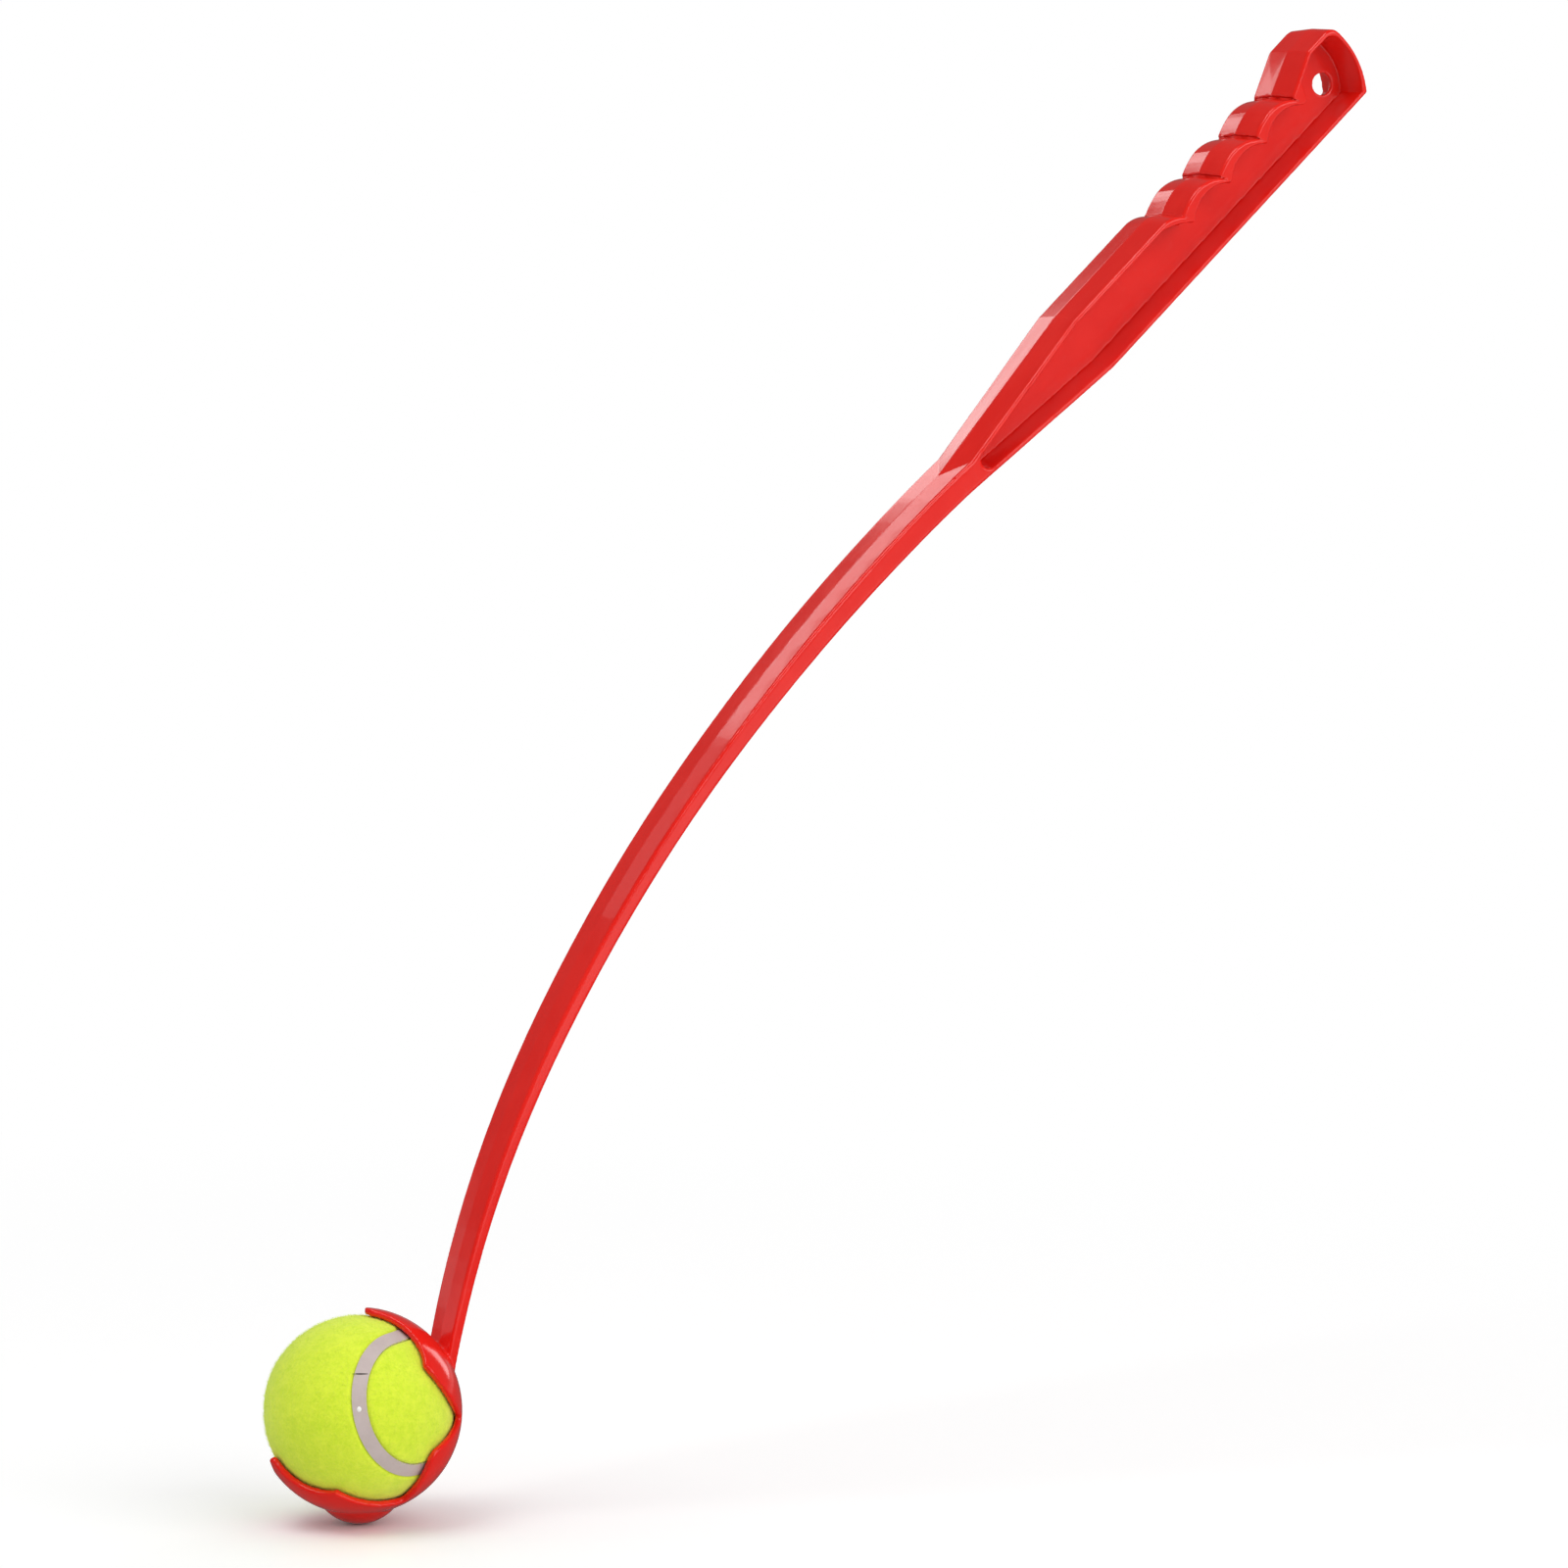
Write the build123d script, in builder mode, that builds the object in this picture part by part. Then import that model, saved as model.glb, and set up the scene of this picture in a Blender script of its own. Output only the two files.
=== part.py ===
from build123d import *
import os
from math import cos, degrees, radians, sin, sqrt, tan

os.makedirs("parts", exist_ok=True)

# Dog ball thrower: one springy moulding with an open grip, a curved shaft and a
# clawed cup, and the hollow felt ball that snaps into the cup.
# Millimetres, +Z up. The origin is the centre of the hang hole in the grip's web.
# The thrower lies in the XZ plane and is the same on both sides of it: -Y is near.

# Ball and cup
ball_radius = 32.5
ball_clearance = 0.5
cup_wall = 2.2
mouth_angle = 144.0          # way out of the cup, in degrees from +X towards +Z
foot_polar = 64.0            # shaft's foot, in degrees from the back of the cup
toe_height = 3.6             # how far the rounded toe under the cup stands off it
toe_half_width = 12.4        # where the toe meets the cup

# Grip, measured from the bend in its back edge
grip_angle = 43.1            # rise of the back edge, in degrees
grip_length = 142.4
grip_width = 28.0
grip_height = 23.2
ridge = 1.0                  # how far the parting line stands above the rims
end_ridge = 0.4              # and how far round the free end
edge_bevel = 0.7
rim_wall = 1.5
web_thickness = 2.2
pocket_draft = 1.2           # the walls are so much thicker at the web
hang_hole_radius = 4.0
hang_hole_inset = 6.3        # from the end of the back edge
hang_hole_height = 10.0      # above the back edge

# Shaft: three tangent arcs from the neck down to the cup, and its sizes at their ends
shaft_radii = (730.0, 570.0, 385.0)
shaft_lengths = (134.0, 116.0, 108.0)
shaft_widths = (25.5, 24.0, 21.3, 18.3)
shaft_thicknesses = (9.1, 6.2, 5.4, 4.2)
shaft_ridge = 0.35
shaft_edge_radius = 1.0

cup_inner_radius = ball_radius + ball_clearance
cup_outer_radius = cup_inner_radius + cup_wall
cut_overrun = 1.0

near_side = Vector(0, -1, 0)


def level_direction(angle):
    """Unit vector in the XZ plane, so many degrees from +X towards +Z."""
    return Vector(cos(radians(angle)), 0, sin(radians(angle)))


# Planes that carry the grip
hang_hole_along = grip_length - hang_hole_inset
grip_axis = level_direction(grip_angle)
grip_rise = level_direction(grip_angle + 90)
bend_point = -(grip_axis * hang_hole_along + grip_rise * hang_hole_height)
grip_plane = Plane(origin=bend_point, x_dir=grip_axis, z_dir=near_side)

# Grip outline: round free end, three finger lobes and their tips
end_bow = 5.7                # how far the free end bows past the back edge
end_height = 27.6
end_corner = 4.5
end_flat = 9.6               # flat top of the end lobe
end_lobe_length = 24.4       # from the first tip to the end of the back edge
tip_height = 20.1
crest_height = 22.7
valley_height = 16.8
tip_overhang = 1.8
finger_count = 3
finger_pitch = 20.4
crest_back = 11.3            # from a lobe's tip side to its crest
grip_start_back = 9.8        # from the last tip to the straight grip
rise_height_share = 0.83     # roundness of a lobe's leading side
fall_height_share = 0.65     # roundness of its trailing side
end_middle_share = 0.52
corner_share = 0.29          # arc's middle, measured in from a square corner
first_tip = grip_length - end_lobe_length


def draw_grip_outline(inset):
    """Closed outline of the grip beyond the bend, drawn in by inset on every side."""
    end_inset = max(inset, -end_ridge)
    end_along = grip_length + end_bow - end_inset
    end_top = end_height - end_inset
    corner_inset = end_corner * corner_share
    lobe_flat_start = end_along - end_corner - end_flat
    Line((0, inset), (grip_length - inset, inset))
    ThreePointArc(
        (grip_length - inset, inset),
        (end_along, end_height * end_middle_share),
        (end_along, end_top - end_corner),
    )
    ThreePointArc(
        (end_along, end_top - end_corner),
        (end_along - corner_inset, end_top - corner_inset),
        (end_along - end_corner, end_top),
    )
    Line((end_along - end_corner, end_top), (lobe_flat_start + end_inset, end_top))
    Line((lobe_flat_start + end_inset, end_top), (first_tip, tip_height - inset))
    for finger in range(finger_count):
        tip = first_tip - finger * finger_pitch
        next_tip = tip - finger_pitch
        valley = tip + tip_overhang
        crest = tip - crest_back
        Line((tip, tip_height - inset), (valley, valley_height - inset))
        ThreePointArc(
            (valley, valley_height - inset),
            ((valley + crest) / 2,
             valley_height + rise_height_share * (crest_height - valley_height) - inset),
            (crest, crest_height - inset),
        )
        ThreePointArc(
            (crest, crest_height - inset),
            ((crest + next_tip) / 2,
             tip_height + fall_height_share * (crest_height - tip_height) - inset),
            (next_tip, tip_height - inset),
        )
    last_tip = first_tip - finger_count * finger_pitch
    last_valley = last_tip + tip_overhang
    grip_start = last_tip - grip_start_back
    Line((last_tip, tip_height - inset), (last_valley, valley_height - inset))
    ThreePointArc(
        (last_valley, valley_height - inset),
        ((last_valley + grip_start) / 2,
         valley_height + rise_height_share * (grip_height - valley_height) - inset),
        (grip_start, grip_height - inset),
    )
    Polyline((grip_start, grip_height - inset), (0, grip_height - inset), (0, inset))


# Neck: the grip tapers onto the shaft's first section
neck_along = 72.0            # from the bend to the neck, down the grip's axis
neck_height = 11.2           # shaft's centre line there, above the back edge's line
neck_turn = 2.9              # the shaft leaves this many degrees flatter than the grip
neck_drop = 1.9              # ridge above the rims at the neck
stub_length = 15.0

neck_point = bend_point - grip_axis * neck_along + grip_rise * neck_height


def shaft_station(distance):
    """Centre line point and downward heading, so far down the shaft from the neck."""
    point = neck_point
    heading = 180 + grip_angle - neck_turn
    left = distance
    last_arc = len(shaft_radii) - 1
    for arc, (radius, length) in enumerate(zip(shaft_radii, shaft_lengths)):
        step = left if arc == last_arc else min(left, length)
        turned = heading + degrees(step / radius)
        point += (level_direction(turned - 90) - level_direction(heading - 90)) * radius
        heading = turned
        left -= step
        if left <= 0:
            break
    return point, heading


def shaft_size(sizes, distance):
    """Width or thickness at a distance, on straight lines between the arcs' ends."""
    start = 0
    for arc, length in enumerate(shaft_lengths):
        if distance <= start + length or arc == len(shaft_lengths) - 1:
            share = (distance - start) / length
            return sizes[arc] + (sizes[arc + 1] - sizes[arc]) * share
        start += length


def across_plane(point, heading):
    """Plane across the moulding: X to the near side, Y to its outer face."""
    return Plane(origin=point, x_dir=near_side, z_dir=level_direction(heading))


def shaft_section(distance):
    """Flat bar with a low ridge along the middle of both faces and round edges."""
    half_width = shaft_size(shaft_widths, distance) / 2
    face = shaft_size(shaft_thicknesses, distance) / 2
    edge = face - shaft_ridge
    with BuildSketch(across_plane(*shaft_station(distance))) as section:
        with BuildLine():
            Polyline(
                (half_width, edge), (0, face), (-half_width, edge),
                (-half_width, -edge), (0, -face), (half_width, -edge),
                close=True,
            )
        make_face()
        corners = section.vertices().group_by(Axis.X)
        fillet(corners[0] + corners[-1], min(shaft_edge_radius, edge / 2))
    return section.sketch


def ridged_section(plane, half_width, outer, outer_drop, back, back_drop):
    """Ten-sided section with bevelled edges between an outer and a back ridge."""
    bevel_width = half_width - edge_bevel
    outer_edge = outer - outer_drop
    back_edge = back + back_drop
    with BuildSketch(plane) as section:
        with BuildLine():
            Polyline(
                (half_width, outer_edge - edge_bevel), (bevel_width, outer_edge), (0, outer),
                (-bevel_width, outer_edge), (-half_width, outer_edge - edge_bevel),
                (-half_width, back_edge + edge_bevel), (-bevel_width, back_edge), (0, back),
                (bevel_width, back_edge), (half_width, back_edge + edge_bevel),
                close=True,
            )
        make_face()
    return section.sketch


# Pockets on both sides of the web, one wall in from the rims
pocket_end = 57.5            # from the bend, down the taper
pocket_lobe_bow = 4.5
valley_extra_wall = 0.3
end_lobe_foot = 2.0
end_lobe_shoulder = 4.6


def taper_back(along):
    """Height of the back rim's line at a place below the bend."""
    back_at_neck = neck_height - shaft_thicknesses[0] / 2 + shaft_ridge
    return back_at_neck * along / neck_along


def taper_top(along):
    """Height of the grip side's rim at a place below the bend."""
    top_at_neck = neck_height + shaft_thicknesses[0] / 2 - neck_drop
    return grip_height + (top_at_neck - grip_height) * along / neck_along


def draw_pocket_outline(inset):
    """Closed outline of a pocket, drawn in by inset from the rims' outer edge."""
    end_along = grip_length + end_bow - inset
    end_top = end_height - inset
    corner_inset = end_corner * corner_share
    lobe_flat_start = grip_length + end_bow - end_corner - end_flat
    lobe_slope = (end_height - tip_height) / (lobe_flat_start - first_tip)
    lobe_foot = first_tip + tip_overhang + end_lobe_foot
    shoulder = first_tip + tip_overhang + end_lobe_shoulder
    shoulder_height = tip_height + lobe_slope * (shoulder - first_tip) - inset
    valley_floor = valley_height - valley_extra_wall - inset
    lower_back = taper_back(pocket_end) + inset
    lower_top = taper_top(pocket_end) - inset
    end_radius = (lower_top - lower_back) / 2
    Polyline((-pocket_end, lower_back), (0, inset), (grip_length - inset, inset))
    ThreePointArc(
        (grip_length - inset, inset),
        (end_along, end_height * end_middle_share),
        (end_along, end_top - end_corner),
    )
    ThreePointArc(
        (end_along, end_top - end_corner),
        (end_along - corner_inset, end_top - corner_inset),
        (end_along - end_corner, end_top),
    )
    Polyline(
        (end_along - end_corner, end_top),
        (lobe_flat_start, end_top),
        (shoulder, shoulder_height),
        (lobe_foot, valley_floor),
        (first_tip + tip_overhang, valley_floor),
    )
    for finger in range(finger_count):
        valley = first_tip + tip_overhang - finger * finger_pitch
        ThreePointArc(
            (valley, valley_floor),
            (valley - finger_pitch / 2, valley_floor + pocket_lobe_bow),
            (valley - finger_pitch, valley_floor),
        )
    last_tip = first_tip - finger_count * finger_pitch
    last_valley = last_tip + tip_overhang
    grip_start = last_tip - grip_start_back
    grip_floor = grip_height - inset
    ThreePointArc(
        (last_valley, valley_floor),
        ((last_valley + grip_start) / 2,
         valley_floor + fall_height_share * (grip_floor - valley_floor)),
        (grip_start, grip_floor),
    )
    Polyline((grip_start, grip_floor), (0, grip_floor), (-pocket_end, lower_top))
    ThreePointArc(
        (-pocket_end, lower_top),
        (-pocket_end - end_radius, (lower_top + lower_back) / 2),
        (-pocket_end, lower_back),
    )


# Handle: open grip with a web in the middle, and the top of the shaft it grows into
half_grip = grip_width / 2
grip_sections = (
    (-half_grip, edge_bevel),
    (edge_bevel - half_grip, 0),
    (0, -ridge),
    (half_grip - edge_bevel, 0),
    (half_grip, edge_bevel),
)
neck_heading = shaft_station(0)[1]
neck_plane = across_plane(neck_point, neck_heading)

with BuildPart() as grip_body:
    for reach, inset in grip_sections:
        with BuildSketch(grip_plane.offset(reach)):
            with BuildLine():
                draw_grip_outline(inset)
            make_face()
    loft(ruled=True)

neck_face = shaft_thicknesses[0] / 2
bend_section = ridged_section(
    across_plane(bend_point, 180 + grip_angle),
    half_grip, grip_height + ridge, ridge, -ridge, ridge,
)
neck_section = ridged_section(
    neck_plane, shaft_widths[0] / 2, neck_face, neck_drop, -neck_face, shaft_ridge
)

with BuildPart() as taper_body:
    loft(sections=[bend_section, neck_section], ruled=True)

with BuildPart() as pocket_cut:
    for side in (1, -1):
        pocket_sections = []
        for reach, inset in (
            (web_thickness / 2, rim_wall + pocket_draft),
            (half_grip + cut_overrun, rim_wall),
        ):
            with BuildSketch(grip_plane.offset(side * reach)) as pocket_section:
                with BuildLine():
                    draw_pocket_outline(inset)
                make_face()
            pocket_sections.append(pocket_section.sketch)
        loft(sections=pocket_sections, ruled=True)

with BuildPart() as handle:
    add(grip_body.part)
    add(taper_body.part)
    extrude(shaft_section(0), amount=-stub_length)
    add(pocket_cut.part, mode=Mode.SUBTRACT)
    with BuildSketch(Plane.XZ):
        Circle(hang_hole_radius)
    extrude(amount=half_grip, both=True, mode=Mode.SUBTRACT)

# Cup, placed by the shaft's foot
shaft_length = sum(shaft_lengths)
foot_point, foot_heading = shaft_station(shaft_length)
cup_centre = foot_point - level_direction(mouth_angle - 180 + foot_polar) * cup_outer_radius
mouth_axis = level_direction(mouth_angle)
cup_side = level_direction(mouth_angle - 90)

# Cup and ball are built round the frame's origin and moved to their place at the end
cup_plane = Plane(origin=(0, 0, 0), x_dir=cup_side, z_dir=near_side)
cup_turn_axis = Axis((0, 0, 0), mouth_axis)

# Shaft: a curved flat bar whose foot is hollowed to sit on the cup
station_count = 14
foot_overlap = 9.0

with BuildPart() as shaft:
    shaft_reach = shaft_length + foot_overlap
    loft(sections=[
        shaft_section(shaft_reach * station / (station_count - 1))
        for station in range(station_count)
    ])
    with Locations(cup_centre):
        Sphere(cup_outer_radius, mode=Mode.SUBTRACT)

# Cup rim: four petals about the mouth axis, two of them long claws in the XZ plane.
# Places on the rim are shares of the distance from the ball's centre, measured on a
# flat plane square to the way the cutter looks, so every cut runs through the centre.
upper_claw_half_angle = 48.0     # at the cup's equator, about the mouth axis
lower_claw_half_angle = 35.0
claw_tip_polar = 121.0           # from the back of the cup
claw_side_shares = (0.29, 0.56)  # of the root's half width and of the tip's height
claw_shoulder_shares = (0.10, 0.93)
claw_side_bow_share = 0.85
lower_side_bow_share = 0.93
claw_side_height_share = 0.35
upper_notch_shares = (1.02, -1.56)
lower_notch_shares = (-1.02, -1.36)
petal_tip_share = -0.60
notch_radius_share = 0.05
petal_radius_share = 0.16
cutter_start_share = 0.3
cutter_end_share = 1.1


def ring_profile(plane, inner, outer, start, end):
    """Piece of a ring about the plane's origin, between two directions in degrees."""
    middle = (start + end) / 2
    turns = [(cos(radians(angle)), sin(radians(angle))) for angle in (start, middle, end)]
    inner_points = [(inner * x, inner * y) for x, y in turns]
    outer_points = [(outer * x, outer * y) for x, y in turns]
    with BuildSketch(plane) as profile:
        with BuildLine():
            ThreePointArc(*inner_points)
            Line(inner_points[-1], outer_points[-1])
            ThreePointArc(*outer_points)
            Line(inner_points[0], outer_points[0])
        make_face()
    return profile.sketch


def claw_cutter(side, half_angle):
    """Cone from the ball's centre through one claw's outline beyond the equator."""
    looking = Plane(origin=(0, 0, 0), x_dir=near_side, z_dir=cup_side * side)
    up = 1 if looking.y_dir.dot(mouth_axis) > 0 else -1
    root = tan(radians(half_angle))
    tip = tan(radians(claw_tip_polar - 90))
    sections = []
    for reach in (cutter_start_share * cup_inner_radius, cutter_end_share * cup_outer_radius):
        half_root = root * reach
        height = tip * reach * up
        before_equator = -cutter_start_share * reach * up
        side_middle = (claw_side_shares[0] * half_root, claw_side_shares[1] * height)
        shoulder = (claw_shoulder_shares[0] * half_root, claw_shoulder_shares[1] * height)
        with BuildSketch(looking.offset(reach)) as outline:
            with BuildLine():
                Polyline(
                    (-half_root, 0), (-half_root, before_equator),
                    (half_root, before_equator), (half_root, 0),
                )
                ThreePointArc((half_root, 0), side_middle, shoulder)
                ThreePointArc(shoulder, (0, height), (-shoulder[0], shoulder[1]))
                ThreePointArc(
                    (-shoulder[0], shoulder[1]), (-side_middle[0], side_middle[1]),
                    (-half_root, 0),
                )
            make_face()
        sections.append(outline.sketch)
    return sections


def window_cutter(way):
    """Cone from the ball's centre through the open side between the two claws."""
    looking = Plane(origin=(0, 0, 0), x_dir=cup_side, z_dir=near_side * way)
    up = 1 if looking.y_dir.dot(mouth_axis) > 0 else -1
    upper_root = 1 / tan(radians(upper_claw_half_angle))
    lower_root = -1 / tan(radians(lower_claw_half_angle))
    sections = []
    for reach in (cutter_start_share * cup_inner_radius, cutter_end_share * cup_outer_radius):
        upper_corner = (upper_root * reach, 0)
        lower_corner = (lower_root * reach, 0)
        upper_notch = (upper_notch_shares[0] * reach, upper_notch_shares[1] * reach * up)
        lower_notch = (lower_notch_shares[0] * reach, lower_notch_shares[1] * reach * up)
        upper_middle = (
            upper_root * reach * claw_side_bow_share,
            (upper_notch[1] + upper_corner[1]) * claw_side_height_share,
        )
        lower_middle = (
            lower_root * reach * lower_side_bow_share,
            (lower_notch[1] + lower_corner[1]) * claw_side_height_share,
        )
        past_equator = cutter_start_share * reach * up
        with BuildSketch(looking.offset(reach)) as outline:
            with BuildLine():
                ThreePointArc(upper_corner, upper_middle, upper_notch)
                Polyline(upper_notch, (0, petal_tip_share * reach * up), lower_notch)
                ThreePointArc(lower_notch, lower_middle, lower_corner)
                Polyline(
                    lower_corner,
                    (lower_corner[0], past_equator),
                    (upper_corner[0], past_equator),
                    upper_corner,
                )
            make_face()
            by_height = outline.vertices().sort_by(Axis.Y, reverse=up < 0)
            fillet(by_height[:2], notch_radius_share * reach)
            petal_tip = outline.vertices().sort_by_distance((0, petal_tip_share * reach * up))[0]
            fillet(petal_tip, petal_radius_share * reach)
        sections.append(outline.sketch)
    return sections


# Toe: a shallow dome under the cup, cut off inside the cup's wall
wall_middle_radius = cup_inner_radius + cup_wall / 2
toe_edge_depth = sqrt(cup_outer_radius**2 - toe_half_width**2)
toe_rise = cup_outer_radius + toe_height - toe_edge_depth
toe_radius = (toe_half_width**2 + toe_rise**2) / (2 * toe_rise)

with BuildPart() as toe:
    with Locations((0, 0, toe_radius - cup_outer_radius - toe_height)):
        Sphere(toe_radius)
    Sphere(wall_middle_radius, mode=Mode.SUBTRACT)

with BuildPart() as cup_bowl:
    revolve(ring_profile(cup_plane, cup_inner_radius, cup_outer_radius, -90, 0), axis=cup_turn_axis)
    add(toe.part)
    for way in (1, -1):
        loft(sections=window_cutter(way), ruled=True, mode=Mode.SUBTRACT)

claws = {}
for name, side, half_angle in (
    ("upper_claw", 1, upper_claw_half_angle),
    ("lower_claw", -1, lower_claw_half_angle),
):
    with BuildPart() as claw:
        lip = ring_profile(cup_plane, cup_inner_radius, cup_outer_radius, 0, claw_tip_polar - 90)
        revolve(lip, axis=cup_turn_axis)
        loft(sections=claw_cutter(side, half_angle), ruled=True, mode=Mode.INTERSECT)
    claws[name] = claw.part

# Ball: a hollow rubber core of two halves under two felt panels and their seam
core_wall = 3.3
felt_thickness = 2.8
seam_width = 5.0
seam_sink = 0.4
seam_circle = 45.0               # angular radius of the seam's four half circles
seam_axis_shares = (0.902, 0.426, 0.070)
seam_start_shares = (0.160, -0.180, -0.971)
core_radius = ball_radius - felt_thickness

ball_plane = Plane(
    origin=(0, 0, 0), x_dir=Vector(*seam_start_shares), z_dir=Vector(*seam_axis_shares)
)
seam_half_angle = degrees(seam_width / 2 / ball_radius)


def half_turn_ring(pole, keep, inner, outer, start, end):
    """Ring about a pole of the ball, between two angles from it, on one half of the ball."""
    profile = ring_profile(
        Plane(origin=(0, 0, 0), x_dir=pole, z_dir=ball_plane.z_dir), inner, outer, start, end
    )
    with BuildPart() as ring:
        revolve(profile, axis=Axis((0, 0, 0), pole))
        split(bisect_by=ball_plane, keep=keep)
    return ring.part


with BuildPart() as ball_core:
    with Locations(ball_plane):
        Sphere(core_radius)
        Sphere(core_radius - core_wall, mode=Mode.SUBTRACT)
    split(bisect_by=ball_plane, keep=Keep.BOTH)

# The seam goes round one pair of poles on each half of the ball, so each felt panel is
# a waist between two of its rings, and has two discs on the other half of the ball
hemispheres = (
    ("left", Keep.BOTTOM, Keep.TOP, ball_plane.y_dir, ball_plane.x_dir),
    ("right", Keep.TOP, Keep.BOTTOM, ball_plane.x_dir, ball_plane.y_dir),
)
seam_near_edge = seam_circle - seam_half_angle
seam_far_edge = seam_circle + seam_half_angle
felt_panels = {}
for side, keep, beyond, pole, other_pole in hemispheres:
    with BuildPart() as panel:
        add(
            half_turn_ring(
                pole, keep, core_radius, ball_radius, seam_far_edge, 180 - seam_far_edge
            )
        )
        for way in (other_pole, -other_pole):
            add(half_turn_ring(way, beyond, core_radius, ball_radius, 0, seam_near_edge))
    felt_panels[f"felt_panel_{side}"] = panel.part

seam_top = ball_radius - seam_sink
with BuildPart() as seam:
    for side, keep, beyond, pole, other_pole in hemispheres:
        for way in (pole, -pole):
            add(half_turn_ring(way, keep, core_radius, seam_top, seam_near_edge, seam_far_edge))

left_to_right = Axis((0, 0, 0), ball_plane.z_dir)
ball_pieces = dict(zip(
    ("ball_core_left", "ball_core_right"), ball_core.solids().sort_by(left_to_right)
))
ball_pieces.update(felt_panels)
ball_pieces["ball_seam"] = seam.part

pieces = {"handle": handle.part, "shaft": shaft.part}
built_at_origin = {"cup_bowl": cup_bowl.part, **claws, **ball_pieces}
for name, piece in built_at_origin.items():
    pieces[name] = piece.moved(Location(cup_centre))

for name, piece in pieces.items():
    piece.label = name
    export_step(piece, f"parts/{name}.step")
    print(f"{name}: {len(piece.solids())} solid, {piece.volume:.0f} mm3")
print(f"ball centre {cup_centre.X:.1f}, {cup_centre.Z:.1f}")
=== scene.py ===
# %% [markdown]
# # A ball thrower for a dog, with a felt ball in its cup
# The real toy is one springy red moulding: a grip with finger lobes, a long curved
# shaft and a clawed cup. A felt-covered ball sits in the cup. The shapes and the moving
# bodies come packed from the CAD model, and this lesson dresses them: it makes the
# plastic glossy, gives the ball real felt, and sets up the studio.
#
# First the frame is loaded. Everything is in metres, and the origin is the centre of
# the hang hole. The box round the CAD model is kept.

# %% Load the frame
import math
import random

import bmesh
import bpy
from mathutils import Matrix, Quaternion, Vector, noise
from mathutils.bvhtree import BVHTree


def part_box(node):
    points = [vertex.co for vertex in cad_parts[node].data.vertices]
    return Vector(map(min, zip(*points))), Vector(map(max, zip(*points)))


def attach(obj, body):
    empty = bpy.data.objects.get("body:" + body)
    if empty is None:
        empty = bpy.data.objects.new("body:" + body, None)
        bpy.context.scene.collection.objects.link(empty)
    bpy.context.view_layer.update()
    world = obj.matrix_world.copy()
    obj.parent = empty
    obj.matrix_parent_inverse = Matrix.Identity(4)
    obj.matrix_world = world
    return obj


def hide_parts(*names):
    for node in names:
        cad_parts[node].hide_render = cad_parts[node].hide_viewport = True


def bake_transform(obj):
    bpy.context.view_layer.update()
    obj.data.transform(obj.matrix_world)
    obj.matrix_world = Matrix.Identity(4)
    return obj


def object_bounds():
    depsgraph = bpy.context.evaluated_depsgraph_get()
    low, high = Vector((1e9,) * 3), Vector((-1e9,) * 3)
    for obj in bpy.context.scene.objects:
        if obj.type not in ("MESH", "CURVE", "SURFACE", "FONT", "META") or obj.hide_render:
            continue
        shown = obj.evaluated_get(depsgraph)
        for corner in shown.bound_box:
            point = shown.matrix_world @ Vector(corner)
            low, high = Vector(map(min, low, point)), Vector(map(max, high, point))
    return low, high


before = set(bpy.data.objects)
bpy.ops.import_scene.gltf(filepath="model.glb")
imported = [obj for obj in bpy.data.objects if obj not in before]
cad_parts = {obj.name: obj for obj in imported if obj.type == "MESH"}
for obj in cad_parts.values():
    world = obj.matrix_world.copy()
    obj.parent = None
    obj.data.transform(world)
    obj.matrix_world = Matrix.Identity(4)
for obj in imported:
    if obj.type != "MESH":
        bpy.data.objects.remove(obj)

cad_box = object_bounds()
mm = 0.001
print("CAD box in mm:", [[round(c / mm, 1) for c in corner] for corner in cad_box])

# %% [markdown]
# ## Shader sums written as sums
# A finish is a tree of nodes. Wiring dozens of Math nodes by hand hides the idea, so a
# small class wraps one output socket and lets + - * add the nodes. `1 - mask` works too,
# because the reflected forms are there. Every other node comes from `Finish.add`, which
# takes the node's type, its settings, and the values or links of its sockets. Colours
# are mixed with Mix nodes, since a Math node would turn them grey.


# %% One socket, and one finish
class Wire:
    """One output socket of a finish, on which sums add Math nodes."""

    def __init__(self, finish, socket):
        self.finish = finish
        self.socket = socket

    def math(self, operation, first, second):
        return self.finish.add("ShaderNodeMath", {"operation": operation}, {0: first, 1: second})

    def __add__(self, other):
        return self.math("ADD", self, other)

    def __radd__(self, other):
        return self.math("ADD", other, self)

    def __sub__(self, other):
        return self.math("SUBTRACT", self, other)

    def __rsub__(self, other):
        return self.math("SUBTRACT", other, self)

    def __mul__(self, other):
        return self.math("MULTIPLY", self, other)

    def __rmul__(self, other):
        return self.math("MULTIPLY", other, self)


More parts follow.
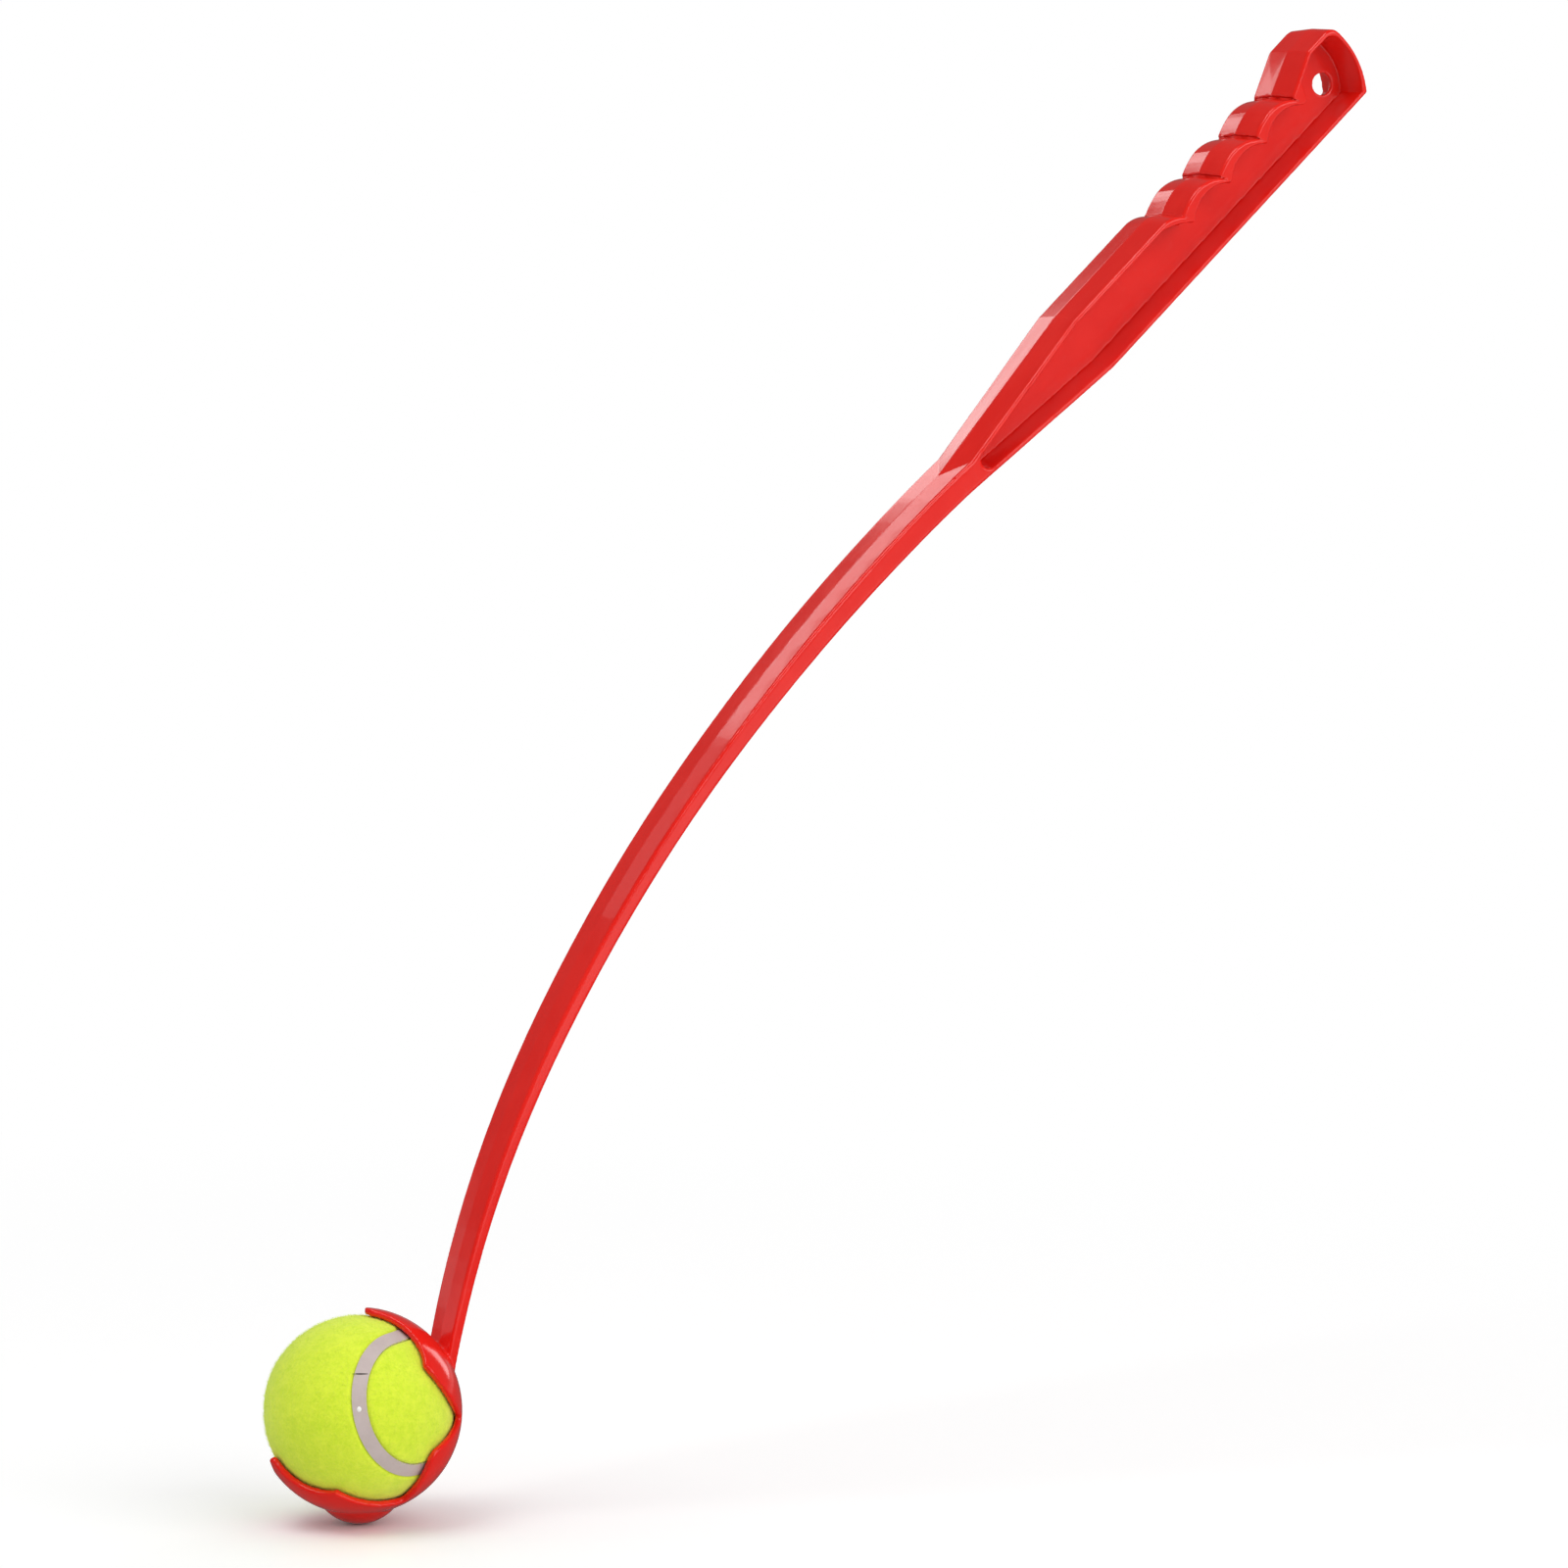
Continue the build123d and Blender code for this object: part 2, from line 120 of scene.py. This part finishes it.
class Finish:
    """The node tree of one material or of the world."""

    def __init__(self, owner):
        owner.use_nodes = True
        self.owner = owner
        self.tree = owner.node_tree
        self.tree.nodes.clear()

    def add(self, kind, settings=None, inputs=None, output=0):
        node = self.tree.nodes.new(kind)
        for name, value in (settings or {}).items():
            if name == "stops":
                while len(node.color_ramp.elements) < len(value):
                    node.color_ramp.elements.new(0.5)
                for stop, (place, colour) in zip(node.color_ramp.elements, value):
                    stop.position = place
                    stop.color = (*colour, 1)
            else:
                setattr(node, name, value)
        for name, value in (inputs or {}).items():
            if isinstance(value, Wire):
                self.tree.links.new(value.socket, node.inputs[name])
            else:
                node.inputs[name].default_value = value
        return Wire(self, node.outputs[output]) if node.outputs else None

    def place(self):
        """Where a point lies on the object, in metres."""
        return self.add("ShaderNodeTexCoord", output="Object")

    def stretched(self, scale):
        return self.add("ShaderNodeMapping", {}, {"Vector": self.place(), "Scale": scale})

    def cloud(self, scale, detail=3.0, rough=0.5, where=None):
        """Soft noise from 0 to 1, with so many lumps to the metre."""
        return self.add("ShaderNodeTexNoise", {}, {
            "Vector": where or self.place(), "Scale": scale, "Detail": detail, "Roughness": rough,
        })

    def ramp(self, value, low, high):
        """0 below low, 1 above high, smooth between."""
        return self.add("ShaderNodeMapRange", {"interpolation_type": "SMOOTHSTEP"}, {
            "Value": value, "From Min": low, "From Max": high,
        })

    def mix(self, mask, low, high):
        """Colour low where the mask is 0, colour high where it is 1."""
        colours = {0: mask}
        for index, colour in ((6, low), (7, high)):
            colours[index] = colour if isinstance(colour, Wire) else (*colour, 1)
        return self.add("ShaderNodeMix", {"data_type": "RGBA"}, colours, output=2)

    def bump(self, height, distance, strength=1.0, below=None):
        sockets = {"Height": height, "Distance": distance, "Strength": strength}
        if below:
            sockets["Normal"] = below
        return self.add("ShaderNodeBump", {}, sockets)

    def surface(self, **sockets):
        """A Principled surface: constants sit on its own sockets, masks are linked."""
        named = {name.replace("_", " "): value for name, value in sockets.items()}
        shader = self.add("ShaderNodeBsdfPrincipled", {}, named)
        self.add("ShaderNodeOutputMaterial", {}, {"Surface": shader})
        return self.owner


def new_finish(name):
    return Finish(bpy.data.materials.new(name))


# %% [markdown]
# ## Glossy red plastic
# The moulding is bright red polypropylene. Its gloss comes from a fairly low roughness,
# and it is never quite even: the mould leaves a faint skin, flow shows as slow waves,
# and play leaves fine scuffs that run along the shaft. All of these are noises measured
# in metres, so they have their real size. The colour itself hardly varies.

# %% The red plastic
plastic = new_finish("moulded_red")
flow = plastic.cloud(55.0, detail=2.0)
skin = plastic.cloud(1400.0, detail=2.0)
scuffs = plastic.cloud(1.0, detail=5.0, rough=0.62, where=plastic.stretched((420.0, 1500.0, 420.0)))
scuffed = plastic.ramp(scuffs, 0.56, 0.78)
red = plastic.mix(plastic.ramp(flow, 0.3, 0.7), (0.835, 0.0125, 0.0072), (0.880, 0.0170, 0.0102))
red = plastic.mix(scuffed * 0.10, red, (0.86, 0.09, 0.07))
plastic_skin = plastic.bump(flow, 0.00010, 0.20)
plastic_skin = plastic.bump(skin, 0.000012, 0.12, below=plastic_skin)
moulded_red = plastic.surface(
    Base_Color=red,
    Roughness=0.11 + flow * 0.04 + scuffed * 0.12,
    Normal=plastic_skin,
    IOR=1.49,
)
print("finish:", moulded_red.name)

# %% [markdown]
# ## Rubber: the ball's seam and its core
# The seam between the felt panels is vulcanised rubber, pale grey with a pink cast and
# quite matt. The core under the felt is never seen unless the ball is cut, so a plain
# dark rubber with some grain is enough.

# %% The two rubbers
seam = new_finish("seam_grey")
seam_dust = seam.cloud(900.0, detail=4.0)
seam_patches = seam.cloud(160.0, detail=2.0)
seam_grey = seam.surface(
    Base_Color=seam.mix(seam_patches * 0.6 + seam_dust * 0.4, (0.48, 0.39, 0.37), (0.66, 0.56, 0.54)),
    Roughness=0.62 + seam_dust * 0.2,
    Normal=seam.bump(seam_dust, 0.00010, 0.5),
)
core = new_finish("core_dark")
core_grain = core.cloud(700.0, detail=3.0)
core_dark = core.surface(
    Base_Color=core.mix(core_grain, (0.035, 0.033, 0.032), (0.065, 0.062, 0.060)),
    Roughness=0.7 + core_grain * 0.15,
    Normal=core.bump(core_grain, 0.00008, 0.5),
)
print("finishes:", seam_grey.name, core_dark.name)

# %% [markdown]
# ## Felt
# Tennis felt is wool and nylon, needled flat and dyed optic yellow. From close by it is
# a mat of curled fibres with darker pits between them, so the colour follows a fine
# noise and the bump follows a finer one. The colour is darker where the bump is low:
# partly the felt's own uneven tone, partly painted shade in the pits. Sheen stands for
# the loose ends that catch light at the rim. The standing fibres get the same finish, a
# little lighter.


# %% The felt's two finishes
def felt_finish(name, shaded_pit, tip):
    felt = new_finish(name)
    curls = felt.cloud(1100.0, detail=4.0, rough=0.65)
    tufts = felt.cloud(330.0, detail=3.0)
    worn = felt.cloud(45.0, detail=2.0)
    # partly painted shade: the low points of the bump take the darker pit colour
    pit_shade_and_tone = felt.ramp(curls * 0.55 + tufts * 0.30 + worn * 0.15, 0.36, 0.62)
    return felt.surface(
        Base_Color=felt.mix(pit_shade_and_tone, shaded_pit, tip),
        Roughness=0.93 + curls * 0.07,
        Normal=felt.bump(curls, 0.00020, 0.40, below=felt.bump(tufts, 0.00035, 0.4)),
        Sheen_Weight=0.25,
        Sheen_Roughness=0.6,
        Specular_IOR_Level=0.15,
    )


# the pit colours hold painted shade as well as the felt's own tone
felt_yellow = felt_finish("felt_yellow", (0.660, 0.855, 0.024), (0.790, 0.935, 0.045))
fibre_yellow = felt_finish("fibre_yellow", (0.680, 0.860, 0.035), (0.840, 0.950, 0.090))
print("finishes:", felt_yellow.name, fibre_yellow.name)

# %% [markdown]
# ## Which finish goes where
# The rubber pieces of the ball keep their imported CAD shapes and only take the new
# finish. The pieces of the moulding take it too, although the next step covers them.

# %% Finish the CAD pieces
moulding_nodes = ("handle", "shaft", "cup_bowl", "upper_claw", "lower_claw")
node_finishes = {name: moulded_red for name in moulding_nodes}
node_finishes.update(ball_core_left=core_dark, ball_core_right=core_dark, ball_seam=seam_grey)
for node_name, finish in node_finishes.items():
    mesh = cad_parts[node_name].data
    mesh.materials.clear()
    mesh.materials.append(finish)
print("finished CAD pieces:", len(node_finishes))

# %% [markdown]
# ## One skin for the moulding
# In CAD the moulding is five solids with knife edges. The real one is a single piece,
# and its edges are round, because no mould can be filled to a sharp corner. Bevels on
# so many facets would fight each other at the corners, so the solids are melted into
# one skin instead: a voxel remesh joins them where they touch, and a few rounds of
# smoothing wear every edge to about a millimetre, as on the real toy.

# %% Melt the solids together
melt_size = 0.5 * mm
melted = bmesh.new()
for node_name in moulding_nodes:
    melted.from_mesh(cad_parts[node_name].data)
solids = BVHTree.FromBMesh(melted)
lump_mesh = bpy.data.meshes.new("lump")
melted.to_mesh(lump_mesh)
melted.free()
lump = bpy.data.objects.new("lump", lump_mesh)
bpy.context.scene.collection.objects.link(lump)
remesh = lump.modifiers.new("melt", "REMESH")
remesh.mode = "VOXEL"
remesh.voxel_size = melt_size
wear = lump.modifiers.new("wear", "SMOOTH")
wear.factor = 0.5
wear.iterations = 6
skin = bmesh.new()
skin.from_object(lump, bpy.context.evaluated_depsgraph_get())
bpy.data.objects.remove(lump)
print("skin faces:", len(skin.faces))

# %% [markdown]
# The grid of the remesh leaves faint steps on slanting facets, and gloss would show
# them. So each corner that has hardly moved off the solids is set back on them, and
# only the worn edges keep their new shape. The pockets' inner corners are crisp on the
# real grip, so there the corners that filled up are set back as well.


# %% Set the facets back on the solids
def smooth_step(value, low, high):
    share = min(1.0, max(0.0, (value - low) / (high - low)))
    return share * share * (3 - 2 * share)


grip_floor = -165.0 * mm
hardly_moved = 0.05 * mm
fully_worn = 0.14 * mm
facet_normals = {}
for vertex in skin.verts:
    spot, outward, _, moved = solids.find_nearest(vertex.co)
    filled = vertex.co.z > grip_floor and (vertex.co - spot).dot(outward) > hardly_moved
    vertex.co = vertex.co.lerp(spot, 1 if filled else 1 - smooth_step(moved, hardly_moved, fully_worn))
    for axis in range(3):
        vertex.co[axis] = min(max(vertex.co[axis], cad_box[0][axis]), cad_box[1][axis])
    if filled:
        facet_normals[tuple(vertex.co)] = outward
print("skin volume in mm3:", round(skin.calc_volume() / mm**3))

# %% [markdown]
# The claws bend when the ball snaps in, so the skin is parted again: the body with most
# of the cup, and two lips. Only the body is hung on the thrower; the lips are baked where
# they stand and are not hung on the claws. All three keep the whole skin's normals, so
# the partings don't show.

# %% Part the skin into body and lips
ball_boxes = [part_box(name) for name in ("ball_core_left", "ball_core_right")]
ball_low = Vector([min(box[0][axis] for box in ball_boxes) for axis in range(3)])
ball_high = Vector([max(box[1][axis] for box in ball_boxes) for axis in range(3)])
ball_centre = (ball_low + ball_high) / 2
mouth = Vector((-0.809, 0.0, 0.588)).normalized()
across = Vector((mouth.z, 0.0, -mouth.x))
cup_reach = 40.0 * mm
parting = -7.0 * mm
skin.normal_update()
layer = skin.faces.layers.int.new("part")
for face in skin.faces:
    way = face.calc_center_median() - ball_centre
    if way.length < cup_reach and way.dot(mouth) > parting:
        face[layer] = 1 if way.dot(across) > 0 else 2
normals = {tuple(vertex.co): vertex.normal.copy() for vertex in skin.verts if vertex.link_faces}
normals.update(facet_normals)


def skin_part(name, number, *nodes):
    part = skin.copy()
    others = [face for face in part.faces if face[part.faces.layers.int["part"]] != number]
    bmesh.ops.delete(part, geom=others, context="FACES")
    for face in part.faces:
        face.smooth = True
    mesh = bpy.data.meshes.new(name)
    part.to_mesh(mesh)
    part.free()
    mesh.normals_split_custom_set_from_vertices([normals[tuple(v.co)] for v in mesh.vertices])
    mesh.materials.append(moulded_red)
    piece = bpy.data.objects.new(name, mesh)
    bpy.context.scene.collection.objects.link(piece)
    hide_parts(*nodes)
    return piece


body_skin = skin_part("body_skin", 0, "handle", "shaft", "cup_bowl")
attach(body_skin, "thrower")
for name, number, side in (("upper", 1, 1), ("lower", 2, -1)):
    lip = skin_part(name + "_lip", number, name + "_claw")
    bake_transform(lip)
    print(lip.name, "faces:", len(lip.data.polygons))
skin.free()

# %% [markdown]
# ## Where the ball's seam runs
# The seam is four half circles of 45 degrees about the ball's X and Y poles: the two
# about X bow towards +Z, the two about Y towards -Z. For any direction from the ball's
# centre, the distance to the nearest half circle follows from one angle, and its sign
# says which felt panel the direction falls on.

# %% The ball's axes and the distance to its seam
ball_radius = 32.5 * mm
seam_half_width = 2.5 * mm
ball_z = Vector((0.902, 0.426, 0.070)).normalized()
ball_x = Vector((0.160, -0.180, -0.971))
ball_x = (ball_x - ball_x.dot(ball_z) * ball_z).normalized()
ball_y = ball_z.cross(ball_x)


def seam_distance(way):
    """Metres from the seam's middle line, over the ball: + on the right panel."""
    pole, sign = (ball_x, 1) if way.dot(ball_z) >= 0 else (ball_y, -1)
    angle = math.acos(min(1.0, abs(way.dot(pole))))
    return sign * (angle - math.pi / 4) * ball_radius


print("ball centre in mm:", [round(c / mm, 1) for c in ball_centre])

# %% [markdown]
# ## The felt panels
# A plain sphere would look like a billiard ball. Each panel is cut from a fine sphere
# along the seam. Its edge rolls down to the rubber, as felt does where it is glued, and
# two sizes of noise push the surface in and out by a tenth of a millimetre or so. The
# edge ends below the rubber's surface, so no gap can show.


# %% Make one panel
edge_under = 0.35 * mm
edge_roll = 1.3 * mm
edge_depth, edge_rise = 1.25, 1.12
buried_width = 1.0 * mm


def felt_height(way, distance):
    """Radius of the felt in a direction, so far from the seam's middle."""
    edge = smooth_step(distance, seam_half_width - edge_under, seam_half_width + edge_roll)
    tufts = noise.noise(way * 30.0) * 0.10 + noise.noise(way * 75.0) * 0.09
    return ball_radius + (-edge_depth + edge_rise * edge + tufts * edge) * mm


def felt_panel(name, side, node_name):
    panel = bmesh.new()
    bmesh.ops.create_icosphere(panel, subdivisions=7, radius=1.0)
    buried = []
    for vertex in panel.verts:
        way = vertex.co.normalized()
        distance = seam_distance(way) * side
        if distance < seam_half_width - buried_width:
            buried.append(vertex)
        vertex.co = ball_centre + way * felt_height(way, distance)
    bmesh.ops.delete(panel, geom=buried, context="VERTS")
    for face in panel.faces:
        face.smooth = True
    mesh = bpy.data.meshes.new(name)
    panel.to_mesh(mesh)
    panel.free()
    mesh.materials.append(felt_yellow)
    piece = bpy.data.objects.new(name, mesh)
    bpy.context.scene.collection.objects.link(piece)
    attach(piece, "ball")
    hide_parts(node_name)
    return piece


right_felt = felt_panel("right_felt", 1, "felt_panel_right")
left_felt = felt_panel("left_felt", -1, "felt_panel_left")
print("felt corners:", len(right_felt.data.vertices), len(left_felt.data.vertices))

# %% [markdown]
# ## Loose fibres
# What makes felt look soft is its outline: thousands of curled ends stand off it. Each
# fibre here is a thin bent ribbon that starts in the felt and leans over. They stand
# less than the cup's clearance where the cup is round the ball, and a little more in
# its open mouth, where nothing touches them.

# %% Grow the fibres
fibre_count = 9000
fibre_lengths = (0.8, 2.0)
fibre_half_widths = (0.030, 0.050)
rise_in_mouth, rise_in_cup = 0.75, 0.42
mouth_share = 0.35


def fibre_panel(name, side, seed):
    dice = random.Random(seed)
    fibres = bmesh.new()
    grown = 0
    while grown < fibre_count:
        way = Vector([dice.gauss(0, 1) for axis in range(3)]).normalized()
        if seam_distance(way) * side < seam_half_width + 0.35 * mm:
            continue
        grown += 1
        lean = way.cross(Vector([dice.gauss(0, 1) for axis in range(3)])).normalized()
        turn = way.cross(lean)
        length = dice.uniform(*fibre_lengths) * mm
        most = rise_in_mouth if way.dot(mouth) > mouth_share else rise_in_cup
        rise = most * dice.uniform(0.35, 1.0) * mm
        curl = dice.uniform(-0.5, 0.5)
        half = dice.uniform(*fibre_half_widths) * mm
        foot = ball_centre + way * (ball_radius - 0.25 * mm)
        middle = foot + lean * length * 0.5 + way * (rise + 0.10 * mm)
        tip = foot + (lean + turn * curl) * length + way * (rise * 0.8 + 0.20 * mm)
        middle = ball_centre + (middle - ball_centre).normalized() * (ball_radius + rise * 0.75)
        tip = ball_centre + (tip - ball_centre).normalized() * (ball_radius + rise * 0.45)
        rows = [fibres.verts.new(foot + turn * half), fibres.verts.new(foot - turn * half),
                fibres.verts.new(middle + turn * half), fibres.verts.new(middle - turn * half),
                fibres.verts.new(tip)]
        fibres.faces.new((rows[0], rows[1], rows[3], rows[2]))
        fibres.faces.new((rows[2], rows[3], rows[4]))
    mesh = bpy.data.meshes.new(name)
    fibres.to_mesh(mesh)
    fibres.free()
    mesh.materials.append(fibre_yellow)
    piece = bpy.data.objects.new(name, mesh)
    bpy.context.scene.collection.objects.link(piece)
    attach(piece, "ball")
    return piece


right_fibres = fibre_panel("right_fibres", 1, 11)
left_fibres = fibre_panel("left_fibres", -1, 12)
print("fibre faces:", len(right_fibres.data.polygons) + len(left_fibres.data.polygons))

# %% [markdown]
# ## Two marks on the seam
# Where the seam's rubber strip ends, a dark hairline crosses it, and lower down a small
# pale dot is a painted highlight, a glint painted onto the rubber. Both are shallow oval
# domes on the rubber's surface.
# They are placed by how far right of and above the ball's centre they show, so the way
# that the camera looks is already set here.

# %% Lay the marks on the seam
hairline = new_finish("seam_gap")
hairline_dust = hairline.cloud(1500.0, detail=2.0)
seam_gap = hairline.surface(
    Base_Color=hairline.mix(hairline_dust, (0.035, 0.028, 0.024), (0.090, 0.070, 0.060)),
    Roughness=0.7 + hairline_dust * 0.2,
)
# painted highlight: a pale dome that stands in for a glint on the seam
glint_finish = new_finish("painted_glint")
glint_ripple = glint_finish.cloud(1800.0, detail=2.0)
painted_glint = glint_finish.surface(
    Base_Color=glint_finish.mix(glint_ripple, (0.90, 0.88, 0.84), (0.96, 0.95, 0.92)),
    Roughness=0.25 + glint_ripple * 0.1,
    Normal=glint_finish.bump(glint_ripple, 0.00005, 0.4),
)
seam_sink = 0.4 * mm
dome_foot = 0.02 * mm
seam_radius = ball_radius - seam_sink
camera_way = Vector((0.4441, 0.8908, -0.0958)).normalized()
facing = -camera_way
rightward = Vector((0.0, 0.0, 1.0)).cross(facing).normalized()
upward = facing.cross(rightward)
dome_rings, dome_sides = 6, 28


def seam_mark(name, right, up, half_width, half_height, rise, finish):
    dome = bmesh.new()
    rings = []
    for ring in range(dome_rings + 1):
        share = ring / dome_rings
        corners = []
        for side in range(dome_sides if ring else 1):
            turn = 2 * math.pi * side / dome_sides
            shift = rightward * (right + half_width * share * math.cos(turn))
            shift += upward * (up + half_height * share * math.sin(turn))
            radius = seam_radius + rise * (1 - share**2) - dome_foot * share
            corners.append(dome.verts.new(
                ball_centre + shift + facing * math.sqrt(radius**2 - shift.length_squared)))
        rings.append(corners)
    for ring in range(1, dome_rings + 1):
        inner, outer = rings[ring - 1], rings[ring]
        for side in range(dome_sides):
            after = (side + 1) % dome_sides
            inner_pair = [inner[0]] if len(inner) == 1 else [inner[after], inner[side]]
            dome.faces.new([outer[side], outer[after]] + inner_pair).smooth = True
    mesh = bpy.data.meshes.new(name)
    dome.to_mesh(mesh)
    dome.free()
    mesh.materials.append(finish)
    piece = bpy.data.objects.new(name, mesh)
    bpy.context.scene.collection.objects.link(piece)
    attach(piece, "ball")
    return piece


seam_mark("seam_hairline", 2.5 * mm, 15.2 * mm, 2.9 * mm, 0.26 * mm, 0.08 * mm, seam_gap)
# the pale dot is a painted glint
seam_mark("glint_dot", 2.3 * mm, 3.7 * mm, 0.75 * mm, 0.95 * mm, 0.25 * mm, painted_glint)
print("marks on the seam: 2, at radius in mm", round(seam_radius / mm, 2))

# %% [markdown]
# ## The camera
# The photograph was taken with a long lens from the left of the thrower's mid-plane and
# a little above it. Place and lens were worked out from the moulding's own symmetry.
# With its shift at zero, the picture's centre is the way the camera looks.

# %% Set the camera
camera_data = bpy.data.cameras.new("studio_camera")
camera_data.sensor_width = 36.0
camera_data.lens = 142.875
camera_data.clip_end = 100.0
camera = bpy.data.objects.new("studio_camera", camera_data)
camera.location = (-1.1792, -1.9321, -0.0362)
camera.rotation_mode = "QUATERNION"
camera.rotation_quaternion = camera_way.to_track_quat("-Z", "Y")
bpy.context.scene.collection.objects.link(camera)
bpy.context.scene.camera = camera
print("camera to ball, m:", round((ball_centre - camera.location).length, 3))

# %% [markdown]
# ## The floor
# The cup stands on a white sweep. Near the toy the floor is real paint that takes the
# soft shadow, with a little glow, seen by the camera only, that lifts it to white. Close
# under the toy an ambient-occlusion node dims that glow where the sky is hidden: a
# painted contact shadow, darker than the lamps alone make it.
# From a third of a metre away the floor fades into plain white, so no horizon shows.
# Glossy surfaces see it as a glowing table in a darker room: an emission seen only by
# glossy rays, bright in front of the toy and dim behind it, which paints the reflection
# of a lit table.

# %% Lay the floor
floor_height = cad_box[0].z
floor_span = 30.0
floor_mesh = bpy.data.meshes.new("studio_floor")
floor_signs = ((-1, -1), (1, -1), (1, 1), (-1, 1))
floor_corners = [(x * floor_span, y * floor_span, floor_height) for x, y in floor_signs]
floor_mesh.from_pydata(floor_corners, [], [(0, 1, 2, 3)])
floor = bpy.data.objects.new("studio_floor", floor_mesh)
bpy.context.scene.collection.objects.link(floor)
sweep = new_finish("white_sweep")
seen = sweep.add("ShaderNodeLightPath", output="Is Camera Ray")
mirrored = sweep.add("ShaderNodeLightPath", output="Is Glossy Ray")
away = sweep.add("ShaderNodeVectorMath", {"operation": "DISTANCE"}, {
    0: sweep.place(), 1: (ball_centre.x, ball_centre.y, floor_height),
}, output="Value")
sweep_paint = sweep.add("ShaderNodeBsdfPrincipled", {}, {
    "Base Color": (0.86, 0.86, 0.86, 1), "Roughness": 0.30, "Specular IOR Level": 0.12,
})
# painted shadow: occlusion dims the camera-only glow under the toy
painted_contact_shade = sweep.add("ShaderNodeAmbientOcclusion", {"samples": 8}, {"Distance": 0.12})
sweep_glow = sweep.add("ShaderNodeEmission", {}, {"Color": painted_contact_shade, "Strength": seen * 0.31})
sweep_near = sweep.add("ShaderNodeAddShader", {}, {0: sweep_paint, 1: sweep_glow})
sweep_far = sweep.add("ShaderNodeEmission", {}, {"Strength": 1.0})
sweep_seen = sweep.add("ShaderNodeMixShader", {}, {
    0: seen * sweep.ramp(away, 0.30, 0.90), 1: sweep_near, 2: sweep_far,
})
depth = sweep.add("ShaderNodeSeparateXYZ", {}, {0: sweep.place()}, output="Y")
in_front = sweep.ramp(depth * -1, 0.15, 1.2)
# painted reflection: emission that glossy rays see in place of a lit table
glossy_table_glow = sweep.add("ShaderNodeEmission", {}, {
    "Strength": 0.12 + in_front * (1.15 - 0.7 * sweep.ramp(away, 2.0, 5.0)),
})
sweep_all = sweep.add("ShaderNodeMixShader", {}, {0: mirrored, 1: sweep_seen, 2: glossy_table_glow})
sweep.add("ShaderNodeOutputMaterial", {}, {"Surface": sweep_all})
floor_mesh.materials.append(sweep.owner)
print("floor height in mm:", round(floor_height / mm, 1))

# %% [markdown]
# ## Studio light
# Glossy plastic shows its lamps, so the lamps are placed by their mirror images. The
# light behind the toy stands close: a slim strip that makes the pink line down the near
# half of the shaft, a dimmer tail that carries the line on towards the cup, and a card
# at the right end that shows in the taper, the finger lobes and the end lobe. The facets
# that point the other way mirror the dark between. Far to the right a box makes the band
# on the cup. A large box in front is the main light, with another high on the left, and
# the world fills in: it is white to the camera, bright for matt surfaces and dim for
# glossy ones.


# %% Hang the lamps
def softbox(name, spot, wide, high, radiance, tilt=0.0, towards=None):
    """Lamp of so many metres wide and high at a spot, turned anticlockwise by tilt degrees."""
    way = ((towards or middle) - spot).normalized()
    data = bpy.data.lights.new(name, "AREA")
    data.shape = "RECTANGLE"
    data.size = wide
    data.size_y = high
    data.energy = radiance * math.pi * wide * high
    lamp = bpy.data.objects.new(name, data)
    lamp.location = spot
    lamp.rotation_mode = "QUATERNION"
    lamp.rotation_quaternion = Quaternion(way, math.radians(tilt)) @ way.to_track_quat("-Z", "Y")
    lamp.visible_camera = False
    bpy.context.scene.collection.objects.link(lamp)
    return lamp


def far_off(turn, rise):
    """A spot 12 m off, at turn degrees from +Y towards +X and rise degrees above level."""
    turn, rise = math.radians(turn), math.radians(rise)
    way = Vector((math.sin(turn) * math.cos(rise), math.cos(turn) * math.cos(rise), math.sin(rise)))
    return middle + way * 12.0


middle = (cad_box[0] + cad_box[1]) / 2
behind = 0.8
strip_spot = Vector((-0.285, behind, 0.265))
tail_spot = Vector((-0.515, behind, 0.115))
card_spot = Vector((-0.088, behind, 0.225))
softbox("shaft_strip", strip_spot, 0.33, 0.060, 2.4, tilt=29.0, towards=strip_spot - Vector((0, 1, 0)))
softbox("strip_tail", tail_spot, 0.21, 0.055, 0.5, tilt=37.0, towards=tail_spot - Vector((0, 1, 0)))
softbox("lobe_card", card_spot, 0.115, 0.27, 2.0, towards=card_spot - Vector((0, 1, 0)))
softbox("cup_strip", far_off(61.4, 18.8), 2.1, 6.2, 2.2)
softbox("open_side_box", far_off(160.0, 27.0), 11.2, 7.8, 2.3)
softbox("high_left_box", far_off(-100.0, 66.0), 6.2, 6.2, 3.3)

world = bpy.data.worlds.new("studio_world")
bpy.context.scene.world = world
sky = Finish(world)
direction = sky.add("ShaderNodeTexCoord", output="Generated")
height = sky.add("ShaderNodeSeparateXYZ", {}, {0: direction}, output=2)
camera_sees = sky.add("ShaderNodeLightPath", output="Is Camera Ray")
glass_sees = sky.add("ShaderNodeLightPath", output="Is Transmission Ray")
gloss_sees = sky.add("ShaderNodeLightPath", output="Is Glossy Ray")
plain = sky.add("ShaderNodeMath", {"operation": "MAXIMUM"}, {0: camera_sees, 1: glass_sees})
fill = 0.44 + height * 0.15
gloss = 0.45 - sky.ramp(height, 0.0, 0.14) * 0.33
strength = gloss_sees * gloss + (1 - gloss_sees) * fill
strength = plain + (1 - plain) * strength
backdrop = sky.add("ShaderNodeBackground", {}, {"Color": (1, 1, 1, 1), "Strength": strength})
sky.add("ShaderNodeOutputWorld", {}, {"Surface": backdrop})
bpy.context.scene.view_settings.view_transform = "Standard"
